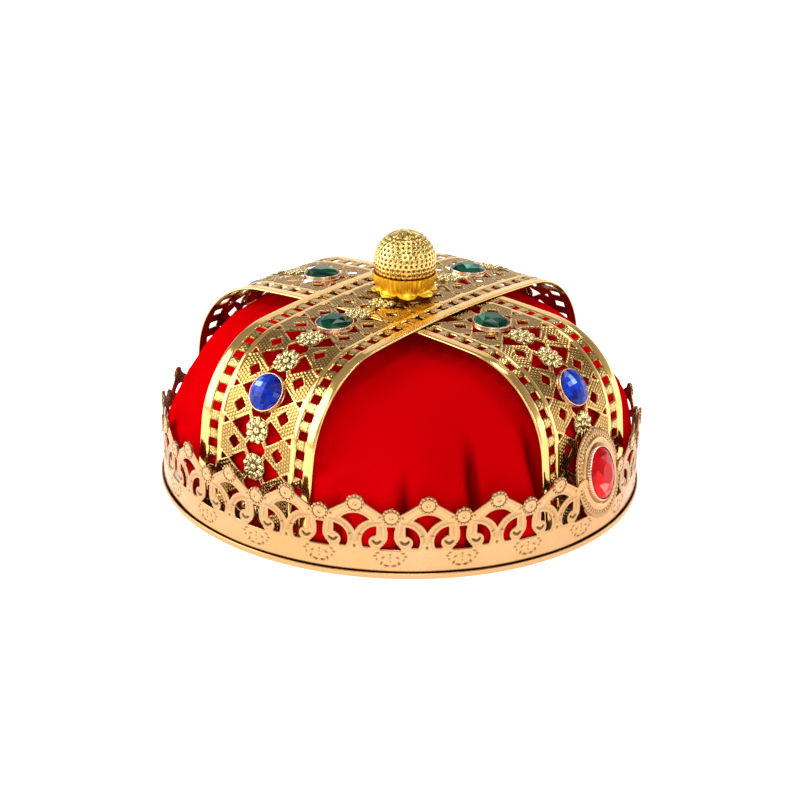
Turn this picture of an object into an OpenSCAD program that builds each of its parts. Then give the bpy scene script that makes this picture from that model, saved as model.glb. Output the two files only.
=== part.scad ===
// A costume crown: a pierced band, two straps crossing over a cloth cap, set
// stones, a front medallion and a ball finial.
// Row frame in mm: origin at the centre of the base, +Z up, front towards -Y.

/* [Band] */
// Outside radius of the rolled hem at the base
hem_radius = 98; // [92:0.5:104]
// Height of the rolled hem
hem_height = 2.2; // [1.5:0.1:3]
// Thickness of the stamped sheet
sheet = 0.8; // [0.6:0.1:1.2]
// Number of scroll panels round the band
panels = 23; // [19:1:27]
// How far the panel pattern is turned from the front, in degrees
band_turn = 0.9; // [-4:0.1:4]
// Height of the plain wall under the scrollwork
wall_height = 11.2; // [9:0.1:14]
// Height of the centre of the low rosettes
low_rosette_z = 24.3; // [22:0.1:26]
// Height of the centre of the peak rosettes
peak_rosette_z = 29.2; // [27:0.1:31]
// Radius of the band's rosettes
band_rosette = 3.5; // [3:0.1:4]

/* [Straps] */
// Width of each strap
strap_width = 55.8; // [50:0.1:60]
// Height of the lower strap's middle at the crossing
strap_top = 74.6; // [70:0.1:80]
// Radius of the gently arched top
top_radius = 616; // [400:1:900]
// Radius of the shoulder bend
shoulder_radius = 37.5; // [30:0.5:42]
// Distance of a leg from the axis at its foot
foot_radius = 91.5; // [88:0.1:93]
// Height of a leg's foot above the base
foot_z = 3; // [2:0.1:6]
// Inward lean of the legs, in degrees
leg_lean = 6.34; // [3:0.01:9]
// Repeat of the pierced pattern along a strap
pitch = 14.3; // [13:0.1:15]
// Radius of the strap's rosettes
strap_rosette = 4.3; // [3.8:0.1:4.6]

/* [Stones] */
// Radius of the round stones
stone_radius = 7; // [6:0.1:8]
// Radius of a round stone's bezel
bezel_radius = 8; // [7.4:0.1:9]
// Half the width of the front stone
oval_half_width = 7.8; // [7:0.1:9]
// Half the height of the front stone
oval_half_height = 10.2; // [9:0.1:12]
// Half the width of the front medallion
medallion_half_width = 14; // [12:0.1:16]
// Half the height of the front medallion
medallion_half_height = 17.5; // [15:0.1:20]
// Height of the medallion's centre
medallion_z = 26; // [22:0.5:30]
// Distance of the medallion's back from the axis at its centre
medallion_y = 94.3; // [92:0.1:97]
// Backward lean of the medallion, in degrees
medallion_lean = 12.7; // [8:0.1:15]

/* [Finial] */
// Radius of the finial ball
ball_radius = 12.5; // [10:0.1:14]
// Height of the ball's centre
ball_z = 89.6; // [86:0.1:94]
// Radius of the ribbed neck
neck_radius = 5.5; // [4.5:0.1:6.5]
// Radius of the finial screw's shank
screw_radius = 1.5; // [1.25:0.05:2]

/* [Cap] */
// Outside radius of the cap's rim
cap_radius = 90.1; // [86:0.1:91]
// Height of the cap's top
cap_top = 68; // [60:0.5:70]
// Thickness of the lined cloth
cloth = 1; // [0.6:0.1:2]

/* [Hidden] */
$fn = 96;
band_radius = hem_radius - 1;
band_inner = band_radius - sheet;
panel_angle = 360 / panels;
panel_width = 2 * PI * band_radius / panels;
flat_sag = band_radius * (1 - cos(panel_angle / 8)) + 0.01;
peak_top = peak_rosette_z + band_rosette - 0.2;
upper_rise = sheet + 0.1;
fit = 0.1;
first_row = 2;
last_row = 9;

// An arch's side profile is a flat top arc, a shoulder arc tangent to it and a
// leaning straight leg tangent to the shoulder.
function leg_up(lean) = [-sin(lean), cos(lean)];
function leg_in(lean) = [-cos(lean), -sin(lean)];
function leg_run(foot, lean, rt, rs, zt) =
    let (w = foot + rs * leg_in(lean) - [0, zt - rt],
         b = w * leg_up(lean))
    -b + sqrt(b * b - w * w + (rt - rs) * (rt - rs));
function shoulder(foot, lean, rt, rs, zt) =
    foot + leg_run(foot, lean, rt, rs, zt) * leg_up(lean) + rs * leg_in(lean);
function top_angle(c, zt, rt) = atan2(c[0], c[1] - zt + rt);

strap_foot = [foot_radius, foot_z];
strap_run = leg_run(strap_foot, leg_lean, top_radius, shoulder_radius, strap_top);
strap_centre = shoulder(strap_foot, leg_lean, top_radius, shoulder_radius, strap_top);
strap_angle = top_angle(strap_centre, strap_top, top_radius);
top_length = top_radius * strap_angle * PI / 180;
bend_length = shoulder_radius * (90 - leg_lean - strap_angle) * PI / 180;

cap_break_z = 12;
cap_foot = [cap_radius - cloth / 2, cap_break_z];
cap_top_radius = 190;
cap_bend = 34;
cap_lean = 8.5;

gold = [0.93, 0.74, 0.38];
pale_gold = [0.95, 0.80, 0.52];
red_cloth = [0.72, 0.02, 0.03];

// ---- shared shapes ----

// a triangle from a centre that spans two angles measured from straight up
module wedge(c, from, to, reach) {
    polygon([c, c + reach * [sin(from), cos(from)], c + reach * [sin(to), cos(to)]]);
}

module arc_shell(c, r, thick, from, to) {
    intersection() {
        difference() {
            translate(c) circle(r = r + thick / 2);
            translate(c) circle(r = r - thick / 2);
        }
        wedge(c, from, to, 3 * r);
    }
}

module leg_shell(foot, lean, run, thick) {
    translate(foot) rotate(lean) translate([-thick / 2, 0]) square([thick, run]);
}

// an oval made of four tangent arcs
module oval(a, b) {
    small = 0.85 * a;
    rise = b - small;
    big = (rise * rise + a * a - small * small) / (2 * (a - small));
    out = big - a;
    edge = rise * big / (big - small);
    for (s = [-1, 1]) translate([0, s * rise]) circle(r = small);
    intersection() {
        translate([-out, 0]) circle(r = big);
        translate([out, 0]) circle(r = big);
        square([2 * a + 1, 2 * edge], center = true);
    }
}

function mirrored_x(p) = [-p[0], p[1]];

module mirrored(axis) {
    children();
    mirror(axis) children();
}

// ---- band ----

// a flat drawing with x across and y up, stood up and pushed out through the
// wall at the given angle from the front
module through_wall(angle) {
    rotate([0, 0, angle]) translate([0, -band_radius + 6, 0])
        rotate([90, 0, 0]) linear_extrude(height = 12) children();
}

// openings of one panel, centred on its low rosette
module scroll_openings() {
    mirrored([1, 0]) difference() {
        intersection() {
            translate([4.8, 14.6]) circle(r = 5.9, $fn = 12);
            translate([4.5, wall_height]) square([7, 8.6]);
        }
        translate([4.6, 13]) circle(r = 2.2, $fn = 8);
    }
    difference() {
        polygon([[-3.8, wall_height], [3.8, wall_height], [1.4, 16.4], [1.4, 18.6], [0, 19.8],
            [-1.4, 18.6], [-1.4, 16.4]]);
        mirrored([1, 0]) translate([4.6, 13]) circle(r = 2.2, $fn = 8);
    }
}

// opening under a gable, centred on its peak rosette
module gable_opening() {
    polygon([[0, 16.6], [1.6, 19.4], [4.4, 21.4], [4.8, 22.4], [2.6, 24.8],
        [-2.6, 24.8], [-4.8, 22.4], [-4.4, 21.4], [-1.6, 19.4]]);
}

// space above the edge between two peaks, centred on the low rosette
module above_edge() {
    half = panel_width / 2;
    difference() {
        polygon([[1 - half, peak_top + 2], [3.4 - half, 29.5], [-3.2, 25.2], [3.2, 25.2],
            [half - 3.4, 29.5], [half - 1, peak_top + 2]]);
        translate([0, low_rosette_z]) circle(r = band_rosette, $fn = 12);
        mirrored([1, 0]) translate([half, peak_rosette_z]) circle(r = band_rosette, $fn = 12);
    }
}

// the front panels are cut away where the medallion leans in through them
module medallion_window() {
    r = medallion_half_width + 0.6;
    translate([0, medallion_z + 2]) circle(r = r, $fn = 12);
    translate([-r, medallion_z + 2]) square([2 * r, 20]);
}

// the outline of a ring made of small flats, four to a panel
module flats(r) {
    polygon([for (k = [0 : 4 * panels - 1])
        let (a = band_turn + (k + 0.3) * panel_angle / 4) r * [sin(a), -cos(a)]]);
}

module band() {
    color(gold) difference() {
        linear_extrude(height = peak_top) flats(band_radius);
        translate([0, 0, -1]) linear_extrude(height = peak_top + 2) flats(band_inner);
        for (i = [0 : panels - 1]) {
            through_wall(band_turn + (i + 0.5) * panel_angle) {
                scroll_openings();
                above_edge();
            }
            through_wall(band_turn + i * panel_angle) gable_opening();
        }
        through_wall(0) medallion_window();
    }
}

module band_hem() {
    color(gold) difference() {
        cylinder(h = hem_height, r = hem_radius);
        translate([0, 0, -1]) cylinder(h = hem_height + 2, r = band_radius);
    }
}

// two flat rivets that close the band's lap at the back
module band_seam_rivets() {
    color(gold) for (z = [5, 9]) translate([0, 0, z]) rotate([-90, 0, 0]) difference() {
        union() {
            translate([0, 0, band_radius - 0.2]) cylinder(h = 0.7, r = 1.5);
            translate([0, 0, band_inner - 0.5]) cylinder(h = 0.7, r = 1.5);
        }
        rotate([90, 0, 0]) difference() {
            cylinder(h = 10, r = band_radius, center = true);
            cylinder(h = 12, r = band_inner - flat_sag, center = true);
        }
    }
}

// ---- straps ----

// puts its children on the strap's middle surface: x along the strap away from
// the crossing, y across it, z out of it
module on_strap(u) {
    if (u < top_length)
        translate([0, 0, strap_top - top_radius]) rotate([0, u / top_radius * 180 / PI, 0])
            translate([0, 0, top_radius]) children();
    else if (u < top_length + bend_length)
        translate([strap_centre[0], 0, strap_centre[1]])
            rotate([0, strap_angle + (u - top_length) / shoulder_radius * 180 / PI, 0])
                translate([0, 0, shoulder_radius]) children();
    else
        translate([strap_centre[0], 0, strap_centre[1]]) rotate([0, 90 - leg_lean, 0])
            translate([u - top_length - bend_length, 0, shoulder_radius]) children();
}

module punch(along, across) {
    cube([along, across, 4], center = true);
}

// the holes of one repeat, round a centre-line feature at distance u
module row_openings(u) {
    mirrored([0, 1, 0]) on_strap(u) translate([0, 0, -2]) linear_extrude(height = 4)
        polygon([[-4.1, 4.7], [-2.2, 5.1], [2.2, 5.1], [4.1, 4.7], [0, 12.2]]);
    mirrored([0, 1, 0]) on_strap(u) translate([0, 16.4, 0]) rotate([0, 0, 45])
        punch(1.7, 1.7);
}

module gap_openings(u) {
    on_strap(u) punch(4.4, 8.4);
    mirrored([0, 1, 0]) on_strap(u) translate([0, 10.8, 0]) rotate([0, 0, 45])
        punch(3.5, 3.5);
}

module ladder_openings(u) {
    mirrored([0, 1, 0]) on_strap(u) translate([0, 21.5, 0]) punch(3.2, 4.2);
}

// a point of the strap's side profile, off its middle surface by the given amount
function profile_point(u, off) =
    u < top_length ?
        let (a = u / top_radius * 180 / PI)
        [0, strap_top - top_radius] + (top_radius + off) * [sin(a), cos(a)] :
    u < top_length + bend_length ?
        let (a = strap_angle + (u - top_length) / shoulder_radius * 180 / PI)
        strap_centre + (shoulder_radius + off) * [sin(a), cos(a)] :
    strap_centre + (shoulder_radius + off) * [cos(leg_lean), sin(leg_lean)]
        - (u - top_length - bend_length) * leg_up(leg_lean);

// the bend is folded in small flats, as a brake makes it
function profile_stations(extra) = [
    for (i = [0 : 2]) top_length * i / 3,
    for (i = [0 : 14]) top_length + bend_length * i / 14,
    top_length + bend_length + strap_run + extra];

module strap_sheet(extra) {
    us = profile_stations(extra);
    n = len(us) - 1;
    outer = [for (i = [n : -1 : 1]) mirrored_x(profile_point(us[i], sheet / 2)),
        for (i = [0 : n]) profile_point(us[i], sheet / 2)];
    inner = [for (i = [n : -1 : 0]) profile_point(us[i], -sheet / 2),
        for (i = [1 : n]) mirrored_x(profile_point(us[i], -sheet / 2))];
    rotate([90, 0, 0]) linear_extrude(height = strap_width, center = true)
        polygon(concat(outer, inner));
}

module strap(extra) {
    difference() {
        union() {
            strap_sheet(extra);
            mirrored([1, 0, 0]) for (n = [4, 5, 7, 8, 9]) on_strap(n * pitch) {
                cylinder(h = sheet / 2 + 0.6, r = strap_rosette, $fn = 8);
                cylinder(h = sheet / 2 + 1.2, r = 1.4, $fn = 8);
            }
        }
        mirrored([1, 0, 0]) {
            for (n = [first_row : last_row]) row_openings(n * pitch);
            for (n = [first_row - 1 : last_row]) gap_openings((n + 0.5) * pitch);
            for (n = [0 : 2 * last_row]) ladder_openings((n + 0.5) * pitch / 2);
        }
        translate([0, 0, strap_top]) cylinder(h = 8, r = screw_radius + fit, center = true);
    }
}

// the lower strap runs from front to back
module strap_lower() {
    color(gold) rotate([0, 0, 90]) strap(0);
}

// the upper strap runs from side to side over the lower one
module strap_upper() {
    color(gold) translate([0, 0, upper_rise]) strap(upper_rise);
}

// eight fillets of solder between the legs' edges and the band
module solder_joints() {
    color(gold) for (a = [0, 90, 180, 270], s = [-1, 1]) rotate([0, 0, a]) intersection() {
        difference() {
            translate([90, 25.5 * s - 1.5, 4]) cube([8, 3, 4]);
            translate([foot_radius, 0, foot_z]) rotate([0, -leg_lean, 0])
                translate([-30 + sheet / 2, -40, -20]) cube([30, 80, 60]);
        }
        cylinder(h = 20, r = band_inner - flat_sag, $fn = 256);
    }
}

// ---- cap ----

module cap() {
    run = leg_run(cap_foot, cap_lean, cap_top_radius, cap_bend, cap_top - cloth / 2);
    c = shoulder(cap_foot, cap_lean, cap_top_radius, cap_bend, cap_top - cloth / 2);
    bend_from = top_angle(c, cap_top - cloth / 2, cap_top_radius);
    color(red_cloth) rotate_extrude() {
        translate([cap_radius - cloth, 0]) square([cloth, cap_break_z]);
        leg_shell(cap_foot, cap_lean, run, cloth);
        arc_shell(c, cap_bend, cloth, bend_from, 90 - cap_lean);
        arc_shell([0, cap_top - cloth / 2 - cap_top_radius], cap_top_radius, cloth, 0, bend_from);
    }
}

// ---- set stones ----

// children are drawn on a leg's strap, at distance u from the crossing
module on_leg(index, u) {
    rise = index % 2 == 0 ? upper_rise : 0;
    translate([0, 0, rise]) rotate([0, 0, 90 * index]) on_strap(u) children();
}

// a shallow cup whose foot reaches from the given height
module round_bezel(foot) {
    difference() {
        translate([0, 0, foot]) cylinder(h = 2.2 - foot, r = bezel_radius);
        translate([0, 0, 1]) cylinder(h = 3, r = stone_radius + fit / 2);
    }
}

module round_stone(tint, index, u) {
    color(tint) on_leg(index, u) translate([0, 0, 1]) {
        cylinder(h = 1.6, r = stone_radius);
        translate([0, 0, 1.6]) intersection() {
            cylinder(h = 2.6, r1 = stone_radius + 0.2, r2 = stone_radius - 3, $fn = 8);
            cylinder(h = 2.6, r = stone_radius);
            rotate([0, 0, 22.5])
                cylinder(h = 2.6, r1 = stone_radius + 1.2, r2 = stone_radius - 3.6, $fn = 8);
        }
    }
}

// the green stones sit on the flat of the straps
module green_bezel(index) {
    color(gold) on_leg(index, 3 * pitch) round_bezel(sheet / 2);
}

// the blue ones sit on the shoulders, so their bezels are hollowed to fit the bend
module blue_bezel(index) {
    color(gold) on_leg(index, 6 * pitch) difference() {
        round_bezel(-1.2);
        translate([0, 0, -shoulder_radius]) rotate([90, 0, 0])
            cylinder(h = 40, r = shoulder_radius + sheet / 2, center = true, $fn = 256);
    }
}

module green_stone(index) { round_stone([0.02, 0.30, 0.20], index, 3 * pitch); }
module blue_stone(index) { round_stone([0.05, 0.15, 0.75], index, 6 * pitch); }

// ---- front medallion ----

// x across, y up the medallion's face, z out of it
module medallion_place() {
    translate([0, -medallion_y, medallion_z]) rotate([90 - medallion_lean, 0, 0]) children();
}

module medallion() {
    color(gold) medallion_place() {
        linear_extrude(height = 0.8) oval(medallion_half_width, medallion_half_height);
        linear_extrude(height = 3.4) difference() {
            oval(medallion_half_width, medallion_half_height);
            oval(medallion_half_width - 3, medallion_half_height - 3);
        }
    }
}

// a short post that ties the medallion to the leg behind it
module medallion_post() {
    color(gold) difference() {
        medallion_place() translate([0, 9.5, -8]) cylinder(h = 8, r = 2);
        translate([0, -foot_radius, foot_z]) rotate([-leg_lean, 0, 0])
            translate([-20, -sheet / 2, -20]) cube([40, 40, 80]);
    }
}

module red_bezel() {
    color(gold) medallion_place() translate([0, 0, 0.8]) linear_extrude(height = 2.4)
        difference() {
            oval(oval_half_width + 1.2, oval_half_height + 1.2);
            oval(oval_half_width + fit / 2, oval_half_height + fit / 2);
        }
}

module red_stone() {
    color([0.75, 0.02, 0.05]) medallion_place() translate([0, 0, 0.8]) {
        linear_extrude(height = 2) oval(oval_half_width, oval_half_height);
        translate([0, 0, 2]) intersection() {
            linear_extrude(height = 2.4) oval(oval_half_width, oval_half_height);
            mirrored([0, 1, 0]) translate([0, -2, 0])
                cylinder(h = 2.4, r1 = oval_half_height - 1.4, r2 = oval_half_height - 5, $fn = 8);
        }
    }
}

// ---- finial ----

seat_z = strap_top + upper_rise + sheet / 2;
cup_z = seat_z + 1.8;

module finial_neck() {
    color(gold) difference() {
        translate([0, 0, seat_z]) cylinder(h = cup_z - seat_z, r = neck_radius);
        translate([0, 0, seat_z - 1]) cylinder(h = 6, r = screw_radius + fit);
        for (a = [0 : 15 : 345]) rotate([0, 0, a])
            translate([neck_radius + 0.25, 0, seat_z - 1]) cylinder(h = 6, r = 0.55);
    }
}

module finial_cup() {
    color(gold) difference() {
        rotate_extrude() polygon([[screw_radius + fit, cup_z], [10.4, cup_z - 0.3],
            [13.2, cup_z + 0.1], [13.3, cup_z + 0.7], [11.9, cup_z + 2.6], [12.2, cup_z + 7.4],
            [11.5, cup_z + 7.4], [10.2, cup_z + 4], [8, cup_z + 3], [screw_radius + fit, cup_z + 3]]);
        translate([0, 0, ball_z]) sphere(r = ball_radius + 0.01);
        for (a = [0 : 45 : 315]) rotate([0, 0, a]) translate([14, 0, cup_z - 2])
            cylinder(h = 4, r = 1.6);
    }
}

module finial_ball() {
    color(gold) difference() {
        translate([0, 0, ball_z]) sphere(r = ball_radius);
        difference() {
            translate([0, 0, ball_z]) sphere(r = ball_radius - 1);
            translate([0, 0, ball_z - ball_radius]) cylinder(h = 8, r = 3.5);
        }
        translate([0, 0, ball_z - ball_radius - 1]) cylinder(h = 8, r = screw_radius + fit / 2);
    }
}

module finial_washer() {
    color(pale_gold) translate([0, 0, strap_top - sheet / 2 - 0.9]) difference() {
        cylinder(h = 0.8, r = 5);
        translate([0, 0, -1]) cylinder(h = 3, r = screw_radius + fit);
    }
}

module finial_screw() {
    head_z = strap_top - sheet / 2 - 0.9;
    color(pale_gold) difference() {
        union() {
            translate([0, 0, head_z - 1.8]) cylinder(h = 1.8, r = 2.8);
            translate([0, 0, head_z - 0.5])
                cylinder(h = ball_z - ball_radius + 6 - head_z, r = screw_radius);
        }
        translate([0, 0, head_z - 1.8]) cube([0.8, 8, 1.6], center = true);
    }
}

// ---- nodes ----

band();
band_hem();
band_seam_rivets();
strap_lower();
strap_upper();
solder_joints();
cap();
medallion();
medallion_post();
red_bezel();
red_stone();
green_bezel(0);  // green_bezel_1
green_bezel(1);  // green_bezel_2
green_bezel(2);  // green_bezel_3
green_bezel(3);  // green_bezel_4
green_stone(0);  // green_stone_1
green_stone(1);  // green_stone_2
green_stone(2);  // green_stone_3
green_stone(3);  // green_stone_4
blue_bezel(0);  // blue_bezel_1
blue_bezel(1);  // blue_bezel_2
blue_bezel(2);  // blue_bezel_3
blue_bezel(3);  // blue_bezel_4
blue_stone(0);  // blue_stone_1
blue_stone(1);  // blue_stone_2
blue_stone(2);  // blue_stone_3
blue_stone(3);  // blue_stone_4
finial_ball();
finial_cup();
finial_neck();
finial_washer();
finial_screw();
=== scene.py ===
import math

import bpy
import numpy as np
from mathutils import Matrix, Vector


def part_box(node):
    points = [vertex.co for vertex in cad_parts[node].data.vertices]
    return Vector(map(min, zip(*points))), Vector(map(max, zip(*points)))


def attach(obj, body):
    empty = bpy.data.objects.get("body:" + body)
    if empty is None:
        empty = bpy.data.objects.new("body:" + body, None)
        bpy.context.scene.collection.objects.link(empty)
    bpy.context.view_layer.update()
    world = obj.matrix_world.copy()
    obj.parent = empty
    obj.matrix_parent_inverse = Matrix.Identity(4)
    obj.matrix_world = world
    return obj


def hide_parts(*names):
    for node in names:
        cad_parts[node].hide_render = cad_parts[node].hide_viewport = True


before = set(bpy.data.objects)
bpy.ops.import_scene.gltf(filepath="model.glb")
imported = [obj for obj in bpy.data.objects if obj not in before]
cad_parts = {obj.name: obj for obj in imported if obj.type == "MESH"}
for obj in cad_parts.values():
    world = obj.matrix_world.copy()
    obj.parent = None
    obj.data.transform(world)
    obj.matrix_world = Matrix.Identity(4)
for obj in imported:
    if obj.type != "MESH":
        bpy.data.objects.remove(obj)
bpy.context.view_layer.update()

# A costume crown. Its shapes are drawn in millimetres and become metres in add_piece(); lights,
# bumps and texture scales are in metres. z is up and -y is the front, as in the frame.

scene = bpy.context.scene
MM = 0.001
TAU = 2 * math.pi

# ---- sizes that follow the frame ----


def corner(node, high, axis):
    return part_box(node)[high][axis] / MM


HEM_R = corner("band_hem", 1, 0)
HEM_TOP = corner("band_hem", 1, 2)
BAND_R = HEM_R - 1
BAND_TOP = corner("band", 1, 2)
PANELS = 23
BAND_TURN = math.radians(0.9)
PANEL_ANGLE = TAU / PANELS
HALF_PANEL = BAND_R * PANEL_ANGLE / 2
WALL_TOP = 11.2
LOW_Z, PEAK_Z, BAND_ROSETTE = 24.3, 29.2, 3.5

SHEET = 0.8
HALF_STRAP = corner("strap_lower", 1, 0)
STRAP_TOP = corner("strap_lower", 1, 2) - SHEET / 2
UPPER_RISE = corner("strap_upper", 1, 2) - corner("strap_lower", 1, 2)
TOP_RADIUS, SHOULDER_RADIUS = 616.0, 37.5
FOOT_R, FOOT_Z, LEG_LEAN = 91.5, 3.0, math.radians(6.34)
PITCH = 14.3
BEAD = PITCH / 10
GREEN_ROW, BLUE_ROW = 3, 6
ROSETTE_ROWS = (1, 2, 4, 5, 7, 8, 9)
COVERED_ROWS = 2

STONE_R, STONE_LIFT = 7.0, -0.4
OVAL_A, OVAL_B = 7.8, 10.2
MEDAL_A, MEDAL_B = 14.0, 17.5
MEDAL_Y, MEDAL_Z, MEDAL_LEAN = 94.3, 26.0, math.radians(12.7)

BALL_R = 12.5
BALL_Z = corner("finial_ball", 1, 2) - BALL_R
CUP_Z = corner("finial_neck", 1, 2)
SEAT_Z = corner("finial_neck", 0, 2)

CAP_TOP = corner("cap", 1, 2)

# ---- the straps' side profile: a flat arc, a shoulder arc and a leaning leg ----

LEG_UP = np.array([-math.sin(LEG_LEAN), math.cos(LEG_LEAN)])
LEG_IN = np.array([-math.cos(LEG_LEAN), -math.sin(LEG_LEAN)])


def strap_layout():
    foot = np.array([FOOT_R, FOOT_Z])
    w = foot + SHOULDER_RADIUS * LEG_IN - np.array([0, STRAP_TOP - TOP_RADIUS])
    b = w @ LEG_UP
    run = -b + math.sqrt(b * b - w @ w + (TOP_RADIUS - SHOULDER_RADIUS) ** 2)
    centre = foot + run * LEG_UP + SHOULDER_RADIUS * LEG_IN
    angle = math.atan2(centre[0], centre[1] - STRAP_TOP + TOP_RADIUS)
    return run, centre, angle


LEG_RUN, SHOULDER, TOP_ANGLE = strap_layout()
TOP_LENGTH = TOP_RADIUS * TOP_ANGLE
BEND_LENGTH = SHOULDER_RADIUS * (math.pi / 2 - LEG_LEAN - TOP_ANGLE)
STRAP_LENGTH = TOP_LENGTH + BEND_LENGTH + LEG_RUN


def strap_profile(u):
    """Points (x, z) and outward normals (x, z) of a strap's middle at distances u from the crossing."""
    u = np.asarray(u, float)
    flat = u / TOP_RADIUS
    bend = TOP_ANGLE + np.clip(u - TOP_LENGTH, 0, BEND_LENGTH) / SHOULDER_RADIUS
    angle = np.where(u < TOP_LENGTH, flat, bend)
    normal = np.stack([np.sin(angle), np.cos(angle)], -1)
    radius = np.where(u < TOP_LENGTH, TOP_RADIUS, SHOULDER_RADIUS)[..., None]
    centre = np.where((u < TOP_LENGTH)[..., None], [0, STRAP_TOP - TOP_RADIUS], SHOULDER)
    down = np.clip(u - TOP_LENGTH - BEND_LENGTH, 0, None)[..., None] * -LEG_UP
    return centre + radius * normal + down, normal


# ---- small tools ----


def new_object(name, data):
    made = bpy.data.objects.new(name, data)
    scene.collection.objects.link(made)
    return made


# how far a dome's wall reaches below its rim, into the metal under it
DOME_FOOT = 0.15


def circle(count):
    """Even angles round a circle."""
    return np.arange(count) * TAU / count


def turn_z(points, angle):
    c, s = math.cos(angle), math.sin(angle)
    return points @ np.array([[c, s, 0], [-s, c, 0], [0, 0, 1]])


class Mesh:
    """Vertices, faces and a painted shade value for each vertex, gathered into one piece."""

    def __init__(self):
        self.verts, self.faces, self.grime, self.count = [], [], [], 0

    def add(self, verts, faces, grime=0.0):
        verts = np.asarray(verts, float).reshape(-1, 3)
        self.verts.append(verts)
        self.faces += [[i + self.count for i in face] for face in faces]
        self.grime.append(np.broadcast_to(np.asarray(grime, float).ravel(), len(verts)))
        self.count += len(verts)
        return self

    def points(self):
        return np.concatenate(self.verts)

    def add_mesh(self, other, put):
        """Adds a copy of another mesh, with its points moved by put(points)."""
        return self.add(put(other.points()), other.faces, np.concatenate(other.grime))


def add_piece(name, mesh, material, replaces=(), sharp=50.0):
    """Makes the object, smooth but for edges sharper than the given angle, and rides it on the body."""
    data = bpy.data.meshes.new(name)
    data.from_pydata((mesh.points() * MM).tolist(), [], mesh.faces)
    data.validate()
    data.update()
    # a value for each vertex that darkens the colour: painted shade in hollows, grooves and creases
    grime = data.attributes.new("grime", "FLOAT", "POINT")
    grime.data.foreach_set("value", np.concatenate(mesh.grime).astype(np.float32))
    if sharp > 0:
        data.shade_smooth()
        data.set_sharp_from_angle(angle=math.radians(sharp))
    data.materials.append(material)
    piece = new_object(name, data)
    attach(piece, "root")
    if replaces:
        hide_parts(*replaces)
    return piece


def grid_faces(rows, columns, wrap_rows=False, wrap_columns=True, flip=False):
    """Quads between neighbouring points of a rows by columns grid."""
    faces = []
    for i in range(rows if wrap_rows else rows - 1):
        for j in range(columns if wrap_columns else columns - 1):
            k, m = (i + 1) % rows, (j + 1) % columns
            quad = [i * columns + j, i * columns + m, k * columns + m, k * columns + j]
            faces.append(quad[::-1] if flip else quad)
    return faces


def lathe(profile, segments=96, shape=None, closed=False):
    """A profile of (radius, height) points turned about z; shape(angle, r, z) may move them."""
    angle, rings = circle(segments), []
    for point in profile:
        r, z = (np.full(segments, float(value)) for value in point)
        if shape:
            r, z = shape(angle, r, z)
        rings.append(np.stack([r * np.cos(angle), r * np.sin(angle), z], -1))
    return np.concatenate(rings), grid_faces(len(profile), segments, wrap_rows=closed)


def arc(cx, cz, r, start, end, steps):
    """Points of an arc in a profile, with angles in degrees from +x towards +z."""
    angles = np.radians(np.linspace(start, end, steps + 1))
    return [(cx + r * math.cos(a), cz + r * math.sin(a)) for a in angles]


def dome(x, y, rx, ry, height, base=0.0, turn=0.0, around=10, up=4):
    """An elliptical dome with its own wall below the rim, closed underneath."""
    phi, rings = circle(around), []
    for level in range(up):
        a = level / up * math.pi / 2
        px, py = rx * math.cos(a) * np.cos(phi), ry * math.cos(a) * np.sin(phi)
        rings.append(np.stack([px, py, np.full(around, base + height * math.sin(a))], -1))
    foot = rings[0] - [0, 0, DOME_FOOT]
    verts = np.concatenate([foot] + rings + [[[0, 0, base + height]]])
    faces = grid_faces(up + 1, around) + [list(range(around))[::-1]]
    top = len(verts) - 1
    faces += [[up * around + j, up * around + (j + 1) % around, top] for j in range(around)]
    # painted shade round the dome's foot, where it meets the metal under it
    grime = np.zeros(len(verts))
    grime[:3 * around] = np.repeat([1, 0.8, 0.35], around)
    return turn_z(verts, turn) + [x, y, 0], faces, grime


def ring_of_domes(mesh, count, ring, *size, **parts):
    """Domes of one size, evenly round a ring, each turned to face outwards."""
    for k in range(count):
        a = (k + 0.5) * TAU / count
        mesh.add(*dome(ring * math.cos(a), ring * math.sin(a), *size, a, **parts))


def smooth(x):
    x = np.clip(x, 0, 1)
    return x * x * (3 - 2 * x)


def bulge(x):
    """A half-round ridge over -1..1."""
    return np.sqrt(np.clip(1 - x * x, 0, 1))


# ---- pierced sheets ----

# farther than any mark reaches
FAR = 9.0
# for moving points onto an edge: the step for its slope, the longest move, and the least face kept
PROBE, LONGEST_SHIFT, SMALLEST_FACE = 0.01, 0.12, 1e-4


def triangle_grid(first, last, rows_from, rows_to, step):
    """An even triangular grid; odd rows are moved along by half a step."""
    i, j = np.meshgrid(np.arange(first, last + 1), np.arange(rows_from, rows_to + 1), indexing="ij")
    points = np.stack([step * (i + 0.5 * (j % 2)), step * math.sqrt(0.75) * j], -1)
    deep = rows_to - rows_from + 1
    a = (i[:-1, :-1] - first) * deep + j[:-1, :-1] - rows_from
    b, c, d = a + deep, a + 1, a + deep + 1
    even = (j[:-1, :-1] % 2 == 0)[..., None]
    one = np.where(even, np.stack([a, b, c], -1), np.stack([a, d, c], -1))
    two = np.where(even, np.stack([b, d, c], -1), np.stack([a, b, d], -1))
    return points.reshape(-1, 2), np.concatenate([one.reshape(-1, 3), two.reshape(-1, 3)])


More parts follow.
